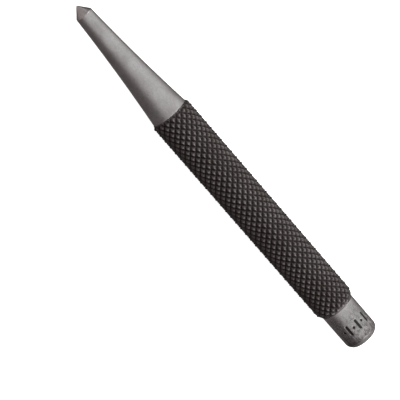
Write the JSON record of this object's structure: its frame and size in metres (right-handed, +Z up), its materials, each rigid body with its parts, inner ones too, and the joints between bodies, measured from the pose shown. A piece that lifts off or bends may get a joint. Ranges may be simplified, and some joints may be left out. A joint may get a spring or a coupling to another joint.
{
  "type": "center punch",
  "caption": "Solid steel center punch: ground conical point, tapered shank, diamond-knurled round grip and plain chamfered head to be struck with a hammer.",
  "frame": {"origin": "on the surface the punch lies on, under the middle of its length", "axes": "+X along the bar from the point to the struck end, +Z up; the bar's axis is 5 mm above the origin"},
  "size_m": [0.1, 0.01, 0.01],
  "materials": {
    "ground_point_steel": "ground",
    "satin_shank_steel": "satin",
    "knurled_grip_steel": "diamond knurled, dark in the grooves",
    "satin_head_steel": "satin",
    "struck_end_steel": "turned"
  },
  "bodies": {
    "root": {"point": "ground_point_steel", "tapered_shank": "satin_shank_steel", "knurled_grip": "knurled_grip_steel", "head": "satin_head_steel", "struck_end": "struck_end_steel"}
  },
  "joints": []
}
